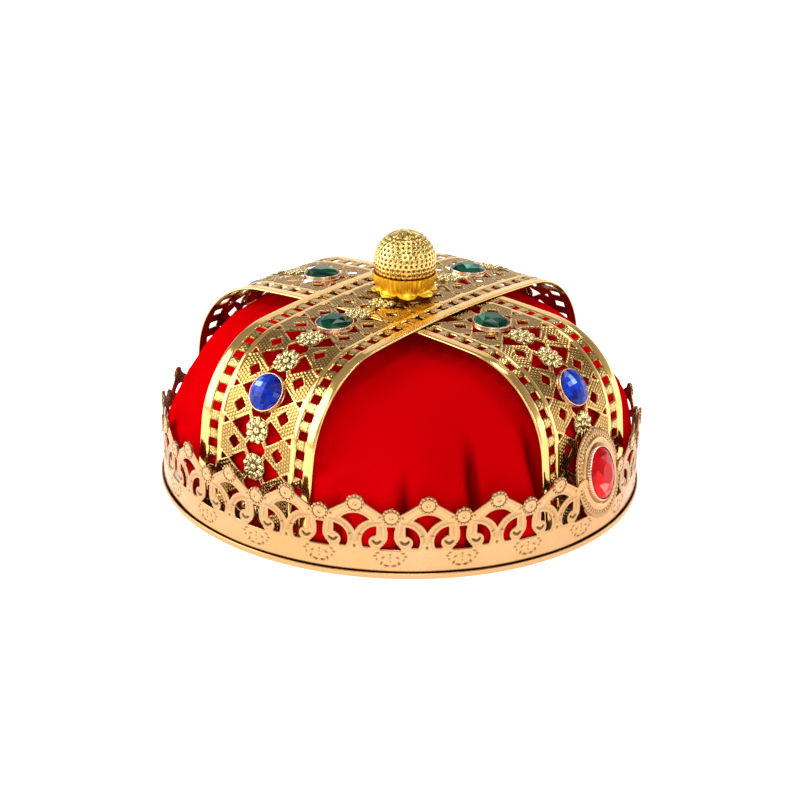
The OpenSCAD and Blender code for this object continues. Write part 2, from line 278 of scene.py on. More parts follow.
def cut_grid(points, tris, metal):
    """Keeps the triangles where metal(u, v) is positive, after moving edge points onto its zero line."""
    value = metal(points[:, 0], points[:, 1])
    edges = np.unique(np.sort(tris[:, [0, 1, 1, 2, 2, 0]].reshape(-1, 2), axis=1), axis=0)
    a, b = edges[(value[edges[:, 0]] > 0) != (value[edges[:, 1]] > 0)].T
    share = value[a] / (value[a] - value[b])
    mover = np.where(share <= 0.5, a, b)
    amount = np.minimum(share, 1 - share)
    target = points[a] + share[:, None] * (points[b] - points[a])
    order = np.argsort(-amount, kind="stable")
    moved = points.copy()
    moved[mover[order]] = target[order]
    on_edge = np.zeros(len(points), bool)
    on_edge[mover] = True
    for _ in range(2):
        u, v = moved[on_edge].T
        e = PROBE
        slope = np.stack([metal(u + e, v) - metal(u - e, v), metal(u, v + e) - metal(u, v - e)], -1)
        slope /= 2 * e
        shift = -metal(u, v)[:, None] * slope / np.maximum((slope ** 2).sum(-1), 0.25)[:, None]
        moved[on_edge] += np.clip(shift, -LONGEST_SHIFT, LONGEST_SHIFT)
    value[on_edge] = 0
    centre = moved[tris].mean(1)
    keep = (value[tris] >= 0).all(1) & (metal(centre[:, 0], centre[:, 1]) > 0)
    corners = moved[tris]
    side_1, side_2 = corners[:, 1] - corners[:, 0], corners[:, 2] - corners[:, 0]
    keep &= side_1[:, 0] * side_2[:, 1] - side_1[:, 1] * side_2[:, 0] > SMALLEST_FACE
    used, tris = np.unique(tris[keep], return_inverse=True)
    return moved[used], tris.reshape(-1, 3)


def pierced_sheet(grid, metal, relief, place, back):
    """A stamped sheet: its front follows relief(u, v), its back is plain, and walls close the edges."""
    points, tris = cut_grid(*grid, metal)
    u, v = points.T
    height, grime = relief(u, v)
    front, rear = place(u, v, height), place(u, v, np.full(len(u), back))
    count = len(points)
    directed = tris[:, [0, 1, 1, 2, 2, 0]].reshape(-1, 2)
    codes = directed[:, 0].astype(np.int64) * count + directed[:, 1]
    mirrored = directed[:, 1].astype(np.int64) * count + directed[:, 0]
    border = directed[~np.isin(codes, mirrored)]
    faces = tris.tolist() + (tris[:, ::-1] + count).tolist()
    faces += [[b, a, a + count, b + count] for a, b in border.tolist()]
    # the front takes the relief's painted shade, and the back is painted half in shade
    return Mesh().add(np.concatenate([front, rear]), faces, np.concatenate([grime, np.full(count, 0.55)]))


def nearest(x, step, offset=0.0):
    """The signed distance from x to the nearest offset + k * step."""
    x = x - offset
    return x - step * np.round(x / step)


def bead_height(u, v):
    """Granulation: 1 on each bead of a triangular lattice, 0 between them."""
    row = BEAD * math.sqrt(0.75)
    plain = np.hypot(nearest(u, BEAD), nearest(v, 2 * row))
    moved = np.hypot(nearest(u, BEAD, BEAD / 2), nearest(v, 2 * row, row))
    r = np.minimum(plain, moved) / (BEAD / math.sqrt(3))
    return 0.5 + 0.5 * np.cos(math.pi * np.clip(r, 0, 1))


# ---- straps ----

# across a strap, from its middle outwards: lozenges, an inner rail, a ladder of holes, a border
DIAMOND_V, DIAMOND_R = 10.7, 2.8
RAIL_IN, COLUMN_IN, COLUMN_OUT = 17.0, 19.3, 23.5
RAIL_HALF, NOTCH_V = 1.25, 16.4
LADDER_V, LADDER_HALF_U, LADDER_HALF_V, LADDER_BOSS = 21.4, 1.6, 2.1, 2.05
BORDER_EDGE_V = 26.6
GAP_HALF_U, GAP_HALF_V, BESIDE_V = 2.7, 4.7, 3.5
SPOKE_HALF = 0.95
ROSETTE_R = 5.5
# the disc at the crossing that stays whole, and the height of the stamping
CLOSED_R = 7.4
RELIEF = 0.42


def half_plane(x, y, x0, y0, x1, y1):
    """How far (x, y) lies to the right of the line from the first point to the second."""
    dx, dy = x1 - x0, y1 - y0
    return ((x - x0) * dy - (y - y0) * dx) / math.hypot(dx, dy)


def from_segment(x, y, x0, y0, x1, y1):
    """Distance from the segment between two points."""
    dx, dy = x1 - x0, y1 - y0
    t = np.clip(((x - x0) * dx + (y - y0) * dy) / (dx * dx + dy * dy), 0, 1)
    return np.hypot(x - x0 - t * dx, y - y0 - t * dy)


def strap_holes(u, v):
    """Distance from the nearest opening, negative inside it."""
    side = np.abs(v)
    row, gap = np.abs(nearest(u, PITCH)), np.abs(nearest(u, PITCH, PITCH / 2))
    rung = np.abs(nearest(u, PITCH / 2, PITCH / 4))
    ladder = np.maximum(rung - LADDER_HALF_U, np.abs(side - LADDER_V) - LADDER_HALF_V)
    closed = np.maximum(ROSETTE_R - 0.3 - np.hypot(row, v),
                        SPOKE_HALF - from_segment(row, side, 3.0, 3.2, PITCH / 2, 5.9))
    beside = np.maximum.reduce([-half_plane(row, side, 0, 12.6, 5.0, 5.0), BESIDE_V - side, closed])
    middle = np.maximum.reduce([gap - GAP_HALF_U, side - GAP_HALF_V, closed])
    diamond = (gap + np.abs(side - DIAMOND_V) - DIAMOND_R) * math.sqrt(0.5)
    notch = np.maximum(-half_plane(row, side, 1.3, NOTCH_V, 0, 14.1), side - NOTCH_V)
    holes = np.minimum.reduce([ladder, beside, middle, diamond, notch])
    return np.maximum(holes, CLOSED_R - np.hypot(u, v))


def strap_metal(u, v):
    """Distance from the strap's nearest edge, negative outside the metal."""
    return np.minimum.reduce([HALF_STRAP - np.abs(v), u, STRAP_LENGTH - u, strap_holes(u, v)])


def strap_relief(u, v):
    """Height of the strap's front above its plain sheet, and the shade painted in its hollows."""
    side, beads = np.abs(v), bead_height(u, v)
    hole, edge = strap_holes(u, v), strap_metal(u, v)
    boss = np.hypot(nearest(u, PITCH / 2), side - LADDER_V) / LADDER_BOSS
    field = np.where(hole < 0.55, 0.75, beads)
    column = np.where(boss < 1, 0.3 * bulge(boss) + 0.7 * beads, 0.25)
    rail = 0.75 * bulge((side - (COLUMN_IN + RAIL_IN) / 2) / RAIL_HALF)
    border = 0.25 + 0.5 * smooth((side - COLUMN_OUT) / 0.5) - 0.35 * smooth((side - BORDER_EDGE_V) / 1.2)
    height = np.select([side > COLUMN_OUT, side > COLUMN_IN, side > RAIL_IN], [border, column, rail], field)
    height = np.where(edge < 0.06, np.minimum(height, 0.1), height)
    plain = (side > COLUMN_OUT) | ((side > RAIL_IN) & (side < COLUMN_IN))
    # painted shade: the lower the relief, the darker, but none on the plain rails and border
    grime = np.where(plain, 0.0, smooth(1.35 - 2.0 * height))
    return 0.02 + RELIEF * height, grime


def to_leg(index, points):
    """Turns points drawn for a leg towards +x to one of the four, and lifts the upper strap's two."""
    return turn_z(points + [0, 0, UPPER_RISE * (1 - index % 2)], index * TAU / 4)


def place_on_leg(index):
    """Maps (along, across, out) of a leg's strap to the frame."""
    def place(u, v, h):
        centre, normal = strap_profile(u)
        x, z = (centre + h[:, None] * normal).T
        return to_leg(index, np.stack([x, v, z], -1))

    return place


def leg_frame(index, u, lift=0.0):
    """Maps points drawn about a place on a leg, x down it, y across and z out, to the frame."""
    (x, z), (out_x, out_z) = strap_profile(u)
    axes = np.array([[out_z, 0, -out_x], [0, 1, 0], [out_x, 0, out_z]])
    return lambda p: to_leg(index, (p + [0, 0, lift]) @ axes + [x, 0, z])


def rosette(radius, lobes, height, base, centre_r):
    """A stamped flower: a thin disc, a ring of round lobes and a bead in the middle."""
    flower = Mesh()
    ring = 0.66 * radius
    lobe = 0.98 * math.pi * ring / lobes
    disc = [(0.001, base + 0.25), (0.78 * radius, base + 0.25), (0.80 * radius, base + 0.1),
            (0.80 * radius, base - 0.1)]
    # the disc under the lobes is painted in shade
    flower.add(*lathe(disc, 32), 0.9)
    ring_of_domes(flower, lobes, ring, radius - ring, lobe, height, base + 0.1)
    flower.add(*dome(0, 0, centre_r, centre_r, height * 1.35, base + 0.1, around=14, up=5))
    return flower


def add_straps(material):
    """Each strap in two halves, from the crossing to a foot. The upper one's legs are 0 and 2."""
    step = BEAD / 3
    rows = int(HALF_STRAP / (step * math.sqrt(0.75))) + 2
    grid = triangle_grid(-1, int(STRAP_LENGTH / step) + 2, -rows, rows, step)
    for index in range(4):
        node = ("strap_upper", "strap_lower")[index % 2]
        mesh = pierced_sheet(grid, strap_metal, strap_relief, place_on_leg(index), -SHEET / 2)
        add_piece(f"{node}_{'ab'[index // 2]}", mesh, material, [node], sharp=70)


def add_strap_rosettes(material):
    """One piece for each leg. The lower strap has none in the rows that the upper one covers."""
    flower = rosette(ROSETTE_R, 9, 0.9, 0.15, 1.5)
    for index in range(4):
        legs = Mesh()
        for row in ROSETTE_ROWS:
            if row <= COVERED_ROWS and index % 2:
                continue
            legs.add_mesh(flower, leg_frame(index, row * PITCH))
        add_piece(f"strap_rosettes_{index + 1}", legs, material, sharp=70)


# ---- band ----

# in each panel a crescent with a hook, beside a keyhole under the low flower; a fan under each peak
HOOK_X, HOOK_Z, HOOK_R = 5.2, 14.0, 2.9
CRESCENT_X, CRESCENT_Z, CRESCENT_R, CRESCENT_SIDE, CRESCENT_FOOT = 4.8, 14.6, 5.9, 5.3, 12.0
CURL_X, CURL_Z, CURL_R = 5.1, 15.3, 1.5
KEY_TOP = 20.3
RIM_R = 9.1
STEM_X, STEM_FOOT, STEM_TOP = 3.3, 16.4, 21.0
BAND_FOOT, BAND_STEP, BAND_BACK = 0.5, 0.5, -0.6
FAN_Z, FAN_R, FAN_FOOT = 18.06, 7.14, 15
GABLE_X, GABLE_Z, GABLE_SLOPE, GABLE_COSINE = 3.2, 25.2, 0.647, 0.84


def band_cell(x):
    """Distances along the wall from the nearest low rosette and the nearest peak."""
    return np.abs(nearest(x, 2 * HALF_PANEL, HALF_PANEL)), np.abs(nearest(x, 2 * HALF_PANEL))


def scallop(dx, dz, radius, lobes=8):
    """How far a point lies inside a flower's wavy outline."""
    angle = np.arctan2(dz, dx)
    return radius * (0.965 + 0.035 * np.cos(lobes * angle)) - np.hypot(dx, dz)


def band_holes(x, z):
    """Distance from the nearest opening, negative inside it."""
    low, peak = band_cell(x)
    hook = HOOK_R - np.hypot(low - HOOK_X, z - HOOK_Z)
    crescent = np.hypot(low - CRESCENT_X, z - CRESCENT_Z) - CRESCENT_R
    crescent = np.maximum.reduce([crescent, CRESCENT_SIDE - low, CRESCENT_FOOT - z, hook])
    flare = 1.15 + 3.0 * np.clip((16 - z) / 4.8, 0, 1) ** 1.7 + 0.3 * smooth((z - 18) / 2)
    key = np.maximum.reduce([low - flare, WALL_TOP - z, z - KEY_TOP])
    fan = np.maximum.reduce([np.hypot(peak, z - FAN_Z) - FAN_R, FAN_FOOT - z,
                             RIM_R - np.hypot(HALF_PANEL - CRESCENT_X - peak, z - CRESCENT_Z)])
    return np.minimum.reduce([crescent, key, fan])


def inside_flowers(low, peak, z):
    return np.maximum(scallop(low, z - LOW_Z, BAND_ROSETTE), scallop(peak, z - PEAK_Z, BAND_ROSETTE))


def band_metal(x, z):
    """Distance from the band's nearest edge, negative outside the metal."""
    low, peak = band_cell(x)
    gable = GABLE_Z + GABLE_SLOPE * np.clip(low - GABLE_X, 0, None)
    outline = np.minimum((gable - z) * GABLE_COSINE, BAND_TOP - z)
    outline = np.maximum(outline, inside_flowers(low, peak, z))
    return np.minimum.reduce([outline, z - BAND_FOOT, band_holes(x, z)])


def blot(x, z, cx, cz, rx, rz, turn):
    """A soft oval mark, 1 in its middle."""
    c, s = math.cos(turn), math.sin(turn)
    dx, dz = x - cx, z - cz
    r = np.hypot((dx * c + dz * s) / rx, (dz * c - dx * s) / rz)
    return smooth(1.4 - r)


# stamped marks on the wall under each low flower: place, half sizes and turn
WALL_MARKS = ((0, 9.3, 0.3, 0.4, 0), (0, 7.9, 0.25, 0.4, 0), (0, 6.5, 0.25, 0.4, 0),
              (2.6, 8.2, 0.8, 0.3, -0.5), (3.2, 5.8, 0.35, 0.8, 0.5), (1.5, 4.9, 1.3, 0.3, 0.1),
              (4.9, 7.2, 0.3, 0.5, 0.3), (4.6, 9.9, 0.9, 0.28, -0.4), (5.6, 8.6, 0.7, 0.3, 0.2))
# and those above the wall under each peak
PEAK_MARKS = ((0, 12.2, 0.55, 0.6, 0), (1.9, 17.0, 0.6, 0.22, -0.3), (9.0, 24.2, 0.8, 0.25, 0.5))


def band_relief(x, z):
    """Height of the band's front above its plain sheet, and the shade painted in its hollows."""
    low, peak = band_cell(x)
    edge = band_metal(x, z)
    scroll = smooth((z - WALL_TOP + 1) / 1.5) * (inside_flowers(low, peak, z) < 0)
    bevel = -0.28 * smooth(1 - edge / 0.55)
    rim = np.hypot(low - CRESCENT_X, z - CRESCENT_Z) - CRESCENT_R - 1.5
    stem = np.abs(low - STEM_X - 0.3 * smooth((z - 17) / 2))
    stem = np.where((z < STEM_FOOT) | (z > STEM_TOP), FAR, stem)
    seam = np.where((z > 14.2) & (low > STEM_X), np.abs(rim), FAR)
    ridge = np.minimum(seam, stem)
    groove = -0.2 * scroll * bulge(ridge / 0.3) - 0.14 * scroll * bulge((edge - 1.0) / 0.28)
    curl = np.abs(np.hypot(low - CURL_X, z - CURL_Z) - CURL_R)
    curl = np.where((z < 15.0) & (low < 6.8), curl, FAR)
    marks = smooth(1.5 - curl / 0.48)
    for across, places in ((low, WALL_MARKS), (peak, PEAK_MARKS)):
        for place in places:
            marks = np.maximum(marks, blot(across, z, *place))
    sag = 0.10 * np.sin(7 * x / BAND_R) * np.sin(12 * x / BAND_R + 1.3)
    height = bevel + groove - 0.35 * marks + sag * smooth(1 - z / WALL_TOP)
    # painted shade in the marks, grooves and near the edges, and a painted shadow line just above the hem
    grime = np.clip(marks + 2.2 * -groove + 0.45 * smooth(1 - edge / 0.35), 0, 1)
    grime = np.maximum(grime, smooth((HEM_TOP + 0.85 - z) / 0.25))
    return height, grime


def place_on_band(u, v, h):
    angle = BAND_TURN + u / BAND_R
    radius = BAND_R + h
    return np.stack([radius * np.sin(angle), -radius * np.cos(angle), v], -1)


def add_band(material):
    """The band in two halves, cut on a triangular net."""
    half_round = math.pi * BAND_R
    rows = int(BAND_TOP / (BAND_STEP * math.sqrt(0.75))) + 2
    for side in (0, 1):
        start = side * half_round

        def metal(u, v, start=start):
            return np.minimum(band_metal(u, v), np.minimum(u - start, start + half_round - u))

        first, last = int(start / BAND_STEP) - 2, int((start + half_round) / BAND_STEP) + 2
        grid = triangle_grid(first, last, 0, rows, BAND_STEP)
        mesh = pierced_sheet(grid, metal, band_relief, place_on_band, BAND_BACK)
        add_piece(f"band_{'ab'[side]}", mesh, material, ["band"], sharp=60)


def beaded_disc(radius, beads):
    """A small flower stamped flat, with a row of beads round its rim and a slit in its middle."""
    disc = Mesh()
    profile = [(0.001, -0.1), (0.35, -0.08), (0.6, 0.28), (1.2, 0.36), (0.66 * radius, 0.30),
               (0.72 * radius, 0.12), (0.95 * radius, 0.1), (0.95 * radius, -0.2)]
    verts, faces = lathe(profile, 40)
    verts[:, 0] *= np.where(np.hypot(verts[:, 0], verts[:, 1]) < 0.7, 1.35, 1.0)
    # painted shade in the middle slit and round the rim
    disc.add(verts, faces, np.repeat([1, 1, 0.1, 0, 0, 0.8, 0.5, 0.8], 40))
    ring_of_domes(disc, beads, 0.86 * radius, 0.5, 0.66, 0.42, 0.08, around=8, up=3)
    return disc


def add_band_rosettes(material):
    """A flower on each low point and each peak of the band's edge, but none behind the medallion."""
    flowers = Mesh()
    flower = beaded_disc(BAND_ROSETTE, 13)
    for k in range(2 * PANELS):
        angle = BAND_TURN + k * PANEL_ANGLE / 2
        height = PEAK_Z if k % 2 == 0 else LOW_Z
        if abs(math.remainder(angle, TAU)) * BAND_R < MEDAL_A:
            continue

        def upright(p, angle=angle, height=height):
            return turn_z(np.stack([p[:, 0], -(BAND_R - 0.05) - p[:, 2], height + p[:, 1]], -1), angle)

        flowers.add_mesh(flower, upright)
    add_piece("band_rosettes", flowers, material, sharp=70)


def add_hem(material):
    """A hem rolled outwards and up, with an open groove behind its lip."""
    roll = 0.32
    profile = arc(HEM_R - roll, HEM_TOP - roll, roll, 180, 0, 6) + arc(HEM_R - roll, roll, roll, 0, -90, 4)
    profile += [(BAND_R - 0.5, 0), (BAND_R - 0.5, 0.7), (BAND_R - 0.05, 0.75), (BAND_R + 0.3, 0.75)]
    around = 256
    verts, faces = lathe(profile, around, closed=True)
    # painted shadow in the groove behind the lip and along the lip's top edge
    grime = np.zeros((len(profile), around))
    grime[-3:] = 1
    grime[0] = 0.7
    hem = Mesh().add(verts, [face[::-1] for face in faces], grime)
    add_piece("rolled_hem", hem, material, ["band_hem"])


# ---- cap ----

# (height, radius) of the free cloth's profile, up to its flat top
CAP_FREE = ((0, 90.0), (6, 92.5), (12, 95.2), (25, 93.2), (33, 90.6), (40, 87.4), (48, 83.3),
            (54, 78.4), (60, 72.3), (64, 64.4))
CLOTH_RINGS, CLOTH_AROUND, GLUED_RINGS, TOP_RINGS = 72, 240, 6, 8
LINING = 0.5
# creases that start at the rim: direction from +x in degrees, half width, depth, and end height
CREASES = ((219, 2.2, 4.0, 44), (235, 2.0, 6.0, 53), (252, 2.4, 4.6, 56), (204, 2.6, 2.0, 38),
           (171, 2.2, 4.4, 52), (126, 2.2, 4.6, 54), (98, 2.4, 3.6, 60), (62, 2.4, 4.8, 52),
           (38, 2.2, 3.2, 44), (12, 2.4, 4.4, 58), (335, 2.4, 4.6, 50), (312, 2.2, 3.4, 44),
           (288, 2.4, 4.6, 58))


def cap_outline(count):
    """Points (radius, height) of the free cloth from its rim to the middle of its top, and their length."""
    r = [p[1] for p in CAP_FREE] + [50, 34, 17, 0.01]
    z = [p[0] for p in CAP_FREE] + [66.6, 67.4, CAP_TOP - 0.8, CAP_TOP - 0.7]
    length = np.concatenate([[0], np.cumsum(np.hypot(np.diff(r), np.diff(z)))])
    want = np.linspace(0, length[-1], count)
    line = np.stack([np.interp(want, length, r), np.interp(want, length, z)])
    for _ in range(4):
        line[:, 1:-1] = (line[:, :-2] + 2 * line[:, 1:-1] + line[:, 2:]) / 4
    return *line, length[-1]


def gathered_cloth():
    """The cloth as it is gathered into the band, before it settles, and how deep in a crease it is."""
    radius, height, cut_radius = cap_outline(CLOTH_RINGS)
    angle = circle(CLOTH_AROUND) + 0 * radius[:, None]
    r, z = radius[:, None] + 0 * angle, height[:, None] + 0 * angle
    low, creased = smooth((50 - z) / 34), 0 * z
    for where, width, deep, reach in CREASES:
        near = r * np.abs(np.remainder(angle - math.radians(where) + math.pi, TAU) - math.pi)
        creased = creased + deep * np.exp(-(near / width) ** 2) * smooth((reach - z) / 22)
    r = r - creased
    r = r + 0.6 * np.sin(3 * angle + 0.05 * z + 0.4) * low + 0.9 * np.sin(9 * angle - 0.14 * z + 1.9) * low
    points = np.stack([r * np.cos(angle), r * np.sin(angle), z], -1)
    return points, np.clip(creased / 4, 0, 1), cut_radius


def settle(points, most=1.2, frames=20, grow=10):
    """Runs Cloth at a larger scale: cut a little too long, held at its rim and middle, and puffed from
    inside. No point moves by more than the given millimetres."""
    data = bpy.data.meshes.new("trial")
    data.from_pydata((points.reshape(-1, 3) * MM * grow).tolist(), [], grid_faces(*points.shape[:2]))
    trial = new_object("trial", data)
    held = trial.vertex_groups.new(name="held")
    count = len(data.vertices)
    held.add(list(range(GLUED_RINGS * CLOTH_AROUND)), 1.0, "REPLACE")
    held.add(list(range(count - TOP_RINGS * CLOTH_AROUND, count)), 1.0, "REPLACE")
    cloth = trial.modifiers.new("cloth", "CLOTH")
    for name, value in (("vertex_group_mass", "held"), ("quality", 6), ("mass", 0.2),
                        ("shrink_min", -0.015), ("bending_stiffness", 2.0), ("use_pressure", True),
                        ("uniform_pressure_force", 0.3)):
        setattr(cloth.settings, name, value)
    cloth.settings.effector_weights.gravity = 0.3
    cloth.collision_settings.use_collision = False
    cloth.point_cache.frame_end = frames
    for frame_number in range(1, frames + 1):
        scene.frame_set(frame_number)
    settled = trial.evaluated_get(bpy.context.evaluated_depsgraph_get()).data
    place = np.zeros(count * 3, np.float32)
    settled.vertices.foreach_get("co", place)
    scene.frame_set(1)
    bpy.data.objects.remove(trial)
    moved = place.reshape(points.shape) / (MM * grow) - points
    size = np.linalg.norm(moved, axis=-1, keepdims=True)
    return points + moved * most / np.maximum(size, most)


def press_under_straps(points):
    """Keeps the cloth under the straps, with a soft shoulder along their edges."""
    x, y, z = np.moveaxis(points, -1, 0)
    r, angle = np.hypot(x, y), np.arctan2(y, x)
    inner = strap_profile(np.linspace(0, STRAP_LENGTH, 400))
    line = inner[0] - (1.0 + LINING) * inner[1]
    reach = np.interp(-z, -line[:, 1], line[:, 0], right=FOOT_R - 1)
    for index in range(4):
        near = np.remainder(angle - index * TAU / 4 + math.pi, TAU) - math.pi
        along, across = r * np.cos(near), np.abs(r * np.sin(near))
        limit = reach + 2.5 * smooth((across - 27.5) / 7)
        over = np.where((np.abs(near) < TAU / 4) & (across < 36), np.clip(along - limit, 0, None), 0)
        r = r - over * smooth((36 - across) / 6)
    r = np.minimum(r, np.where(z < LOW_Z + 10, BAND_R - 1.3, r))
    return np.stack([r * np.cos(angle), r * np.sin(angle), np.minimum(z, CAP_TOP - 0.4)], -1)


def finer(points):
    """Twice the points around, on smooth curves through the old ones."""
    before, after, beyond = (np.roll(points, -k, 1) for k in (-1, 1, 2))
    middle = (9 * (points + after) - before - beyond) / 16
    return np.stack([points, middle], 2).reshape(len(points), -1, points.shape[-1])


def add_cap(material):
    points, creased, cut_radius = gathered_cloth()
    points = settle(points)
    outside = press_under_straps(finer(points))
    rings, around = outside.shape[:2]
    along = np.gradient(outside, axis=0)
    aside = np.roll(outside, -1, 1) - np.roll(outside, 1, 1)
    out = np.cross(aside, along)
    out[-3:] = [0, 0, 1]
    out /= np.maximum(np.linalg.norm(out, axis=-1, keepdims=True), 1e-9)
    inside = outside - LINING * out
    shell = np.concatenate([inside[::-1], outside])[1:-1]
    # the crease depth is painted as shade into the creases
    shade = finer(creased[..., None])[..., 0]
    shade = np.concatenate([shade[::-1], shade])[1:-1]
    mesh = Mesh().add(shell, cap_faces(rings, around), shade)
    cap = add_piece("cloth_cap", mesh, material, ["cap"], sharp=0)
    cap.data.shade_smooth()


def cap_faces(rings, around):
    """The lining from its middle down, the cloth up to its middle, and one small face in each middle."""
    rows = 2 * rings - 2
    faces = grid_faces(rows, around)
    faces.append(list(range(around))[::-1])
    faces.append([(rows - 1) * around + k for k in range(around)])
    return faces


# ---- stones and bezels ----

# where a stone's painted highlight sits, as a share of its radius
PAINTED_GLINT_AT = (-0.25, -0.38)


def paint_facet_light(piece, gem, radius, seed):
    """A painted brightness for each facet, standing in for light off foil behind cut glass: a painted
    highlight on one side.
    """
    rng = np.random.default_rng(seed)
    verts = gem.points()
    middles = np.array([verts[face].mean(0)[:2] for face in gem.faces]) / radius
    spot = np.hypot(*(middles - PAINTED_GLINT_AT).T)
    value = rng.uniform(0, 0.5, len(middles)) + 0.75 * np.exp(-(spot / 0.42) ** 2)
    attribute = piece.data.attributes.new("painted_facet_light", "FLOAT", "FACE")
    attribute.data.foreach_set("value", np.clip(value, 0, 1).astype(np.float32))


def checker_dome(radius, height, cells, base):
    """A round stone cut in a square net of facets."""
    t = np.linspace(-1, 1, cells + 1)
    x, y = np.meshgrid(t, t, indexing="ij")
    px, py = x * np.sqrt(1 - y * y / 2), y * np.sqrt(1 - x * x / 2)
    z = base + height * (1 - 0.9 * (px ** 2 + py ** 2))
    faces = grid_faces(cells + 1, cells + 1, wrap_columns=False, flip=True)
    return Mesh().add(np.stack([px * radius, py * radius, z], -1), faces)


def cut_rings(rings):
    """Facets between rings of (radius x, radius y, height, count, turn), closed by a flat table."""
    verts, faces, steps = [], [], []
    for rx, ry, z, count, turn in rings:
        steps.append((len(verts), count, turn))
        for k in range(count):
            a = (k + turn) * TAU / count
            verts.append([rx * math.cos(a), ry * math.sin(a), z])
    for (s0, n0, turn0), (s1, n1, turn1) in zip(steps, steps[1:]):
        i = j = 0
        while i < n0 or j < n1:
            lower_next = (i + 1 + turn0) / n0 if i < n0 else math.inf
            upper_next = (j + 1 + turn1) / n1 if j < n1 else math.inf
            if lower_next <= upper_next:
                faces.append([s0 + i % n0, s0 + (i + 1) % n0, s1 + j % n1])
                i += 1
            else:
                faces.append([s0 + i % n0, s1 + (j + 1) % n1, s1 + j % n1])
                j += 1
    start, count, _ = steps[-1]
    faces.append(list(range(start, start + count)))
    return Mesh().add(verts, faces)


def round_bezel():
    """A thin cup pressed up round a stone, with a rolled lip and a foot."""
    wall = STONE_R + 0.5
    profile = [(STONE_R + 0.02, 0.9), (STONE_R + 0.02, 1.8)]
    profile += arc(STONE_R + 0.27, 1.85, 0.25, 180, 20, 6)
    profile += [(wall, 1.5), (wall + 0.1, 0.75), (wall + 0.25, 0.35), (STONE_R - 1, 0.35),
                (STONE_R - 1, 0.9)]
    verts, faces = lathe(profile, 64, closed=True)
    return Mesh().add(verts, [face[::-1] for face in faces])


def add_stones(green, blue, pink_gold):
    """A green stone on the flat of each leg and a blue one on its shoulder, in their bezels."""
    rings = ((1, 1.9, 12, 0), (0.97, 2.2, 12, 0), (0.80, 3.4, 6, 0.5), (0.46, 4.3, 6, 0))
    green_gem = cut_rings([(STONE_R * share, STONE_R * share, *rest) for share, *rest in rings])
    blue_gem = checker_dome(STONE_R, 3.0, 7, 2.1)
    bezel = round_bezel()
    for index in range(4):
        for tint, row, gem, material in (("green", GREEN_ROW, green_gem, green),
                                         ("blue", BLUE_ROW, blue_gem, blue)):
            put, number = leg_frame(index, row * PITCH, STONE_LIFT), index + 1
            piece = add_piece(f"{tint}_gem_{number}", Mesh().add_mesh(gem, put), material,
                              [f"{tint}_stone_{number}"], sharp=0)
            paint_facet_light(piece, gem, STONE_R, index * 7 + row)
            add_piece(f"{tint}_setting_{number}", Mesh().add_mesh(bezel, put), pink_gold,
                      [f"{tint}_bezel_{number}"])


# ---- front medallion ----


def medallion_put(points):
    """x across, y up the medallion's face and z out of it, to the frame."""
    c, s = math.cos(MEDAL_LEAN), math.sin(MEDAL_LEAN)
    return points @ np.array([[1, 0, 0], [0, s, c], [0, -c, s]]) + [0, -MEDAL_Y, MEDAL_Z]


# the plate from its edge inwards: share of its outline, height, depth of its ridges, and painted shade
PLATE_RINGS = ((1.00, 0.0, 0, 0.3), (1.00, 0.7, 0, 0.1), (0.98, 1.2, 0.25, 0), (0.945, 1.6, 0.38, 0),
               (0.905, 1.7, 0.34, 0), (0.875, 1.5, 0.15, 0.1), (0.865, 1.35, 0, 0.1), (0.845, 1.25, 0.3, 0),
               (0.825, 1.35, 0, 0.1), (0.80, 1.75, 0, 0), (0.765, 1.95, 0, 0), (0.72, 1.95, 0, 0),
               (0.69, 1.8, 0, 0), (0.66, 1.4, 0, 0.2), (0.63, 1.2, 0, 0.6), (0.40, 1.0, 0, 0.5),
               (0.002, 1.0, 0, 0.5))
# the ring that is stamped with dots instead of ridges
DOT_SHARE = 0.845


def add_plate(material):
    around = 384
    phi = circle(around)
    ridges = 0.5 + 0.5 * np.cos(64 * phi)
    dots = smooth(1.5 * (0.5 + 0.5 * np.cos(48 * phi)) - 0.3)
    rings, grime = [], []
    for share, height, deep, painted_ring_shade in PLATE_RINGS:
        tab = 1 + 0.055 * np.exp(-((phi - TAU / 4) / 0.13) ** 2) * smooth((share - 0.8) / 0.2)
        wave = 1 - (0.012 * (1 - ridges) if share > 0.95 else 0)
        hollow = dots if share == DOT_SHARE else 1 - ridges
        rings.append(np.stack([MEDAL_A * share * wave * np.cos(phi),
                               MEDAL_B * share * wave * tab * np.sin(phi), height - deep * hollow], -1))
        # painted shade for each ring, and more in the ridge valleys and the dots
        grime.append(painted_ring_shade + hollow * (1.0 if share == DOT_SHARE else 0.55 * (deep > 0.12)))
    faces = grid_faces(len(PLATE_RINGS), around) + [list(range(around))[::-1]]
    plate = Mesh().add(rings, faces, grime)
    add_piece("medallion_plate", Mesh().add_mesh(plate, medallion_put), material, ["medallion"], sharp=60)


def add_red_setting(material):
    """A rolled bezel with ribs down its outside."""
    around = 240
    phi = circle(around)
    ribs = 0.12 * (0.5 + 0.5 * np.cos(60 * phi))
    # distance from the stone, height, and how much of the ribs it takes
    lip = ((0.0, 1.0, 0), (0.0, 2.6, 0), (0.1, 2.95, 0), (0.35, 3.05, 0), (0.6, 2.85, 1), (0.8, 2.3, 1),
           (1.0, 1.7, 1), (1.15, 1.0, 0))
    rings = [np.stack([(OVAL_A + w - k * ribs) * np.cos(phi), (OVAL_B + w - k * ribs) * np.sin(phi),
                       z - 0.5 * k * ribs], -1) for w, z, k in lip]
    faces = [face[::-1] for face in grid_faces(len(lip), around, wrap_rows=True)]
    # painted shade between the ribs
    bezel = Mesh().add(rings, faces, [np.clip(k * ribs * 5, 0, 1) for w, z, k in lip])
    add_piece("red_setting", Mesh().add_mesh(bezel, medallion_put), material, ["red_bezel"])


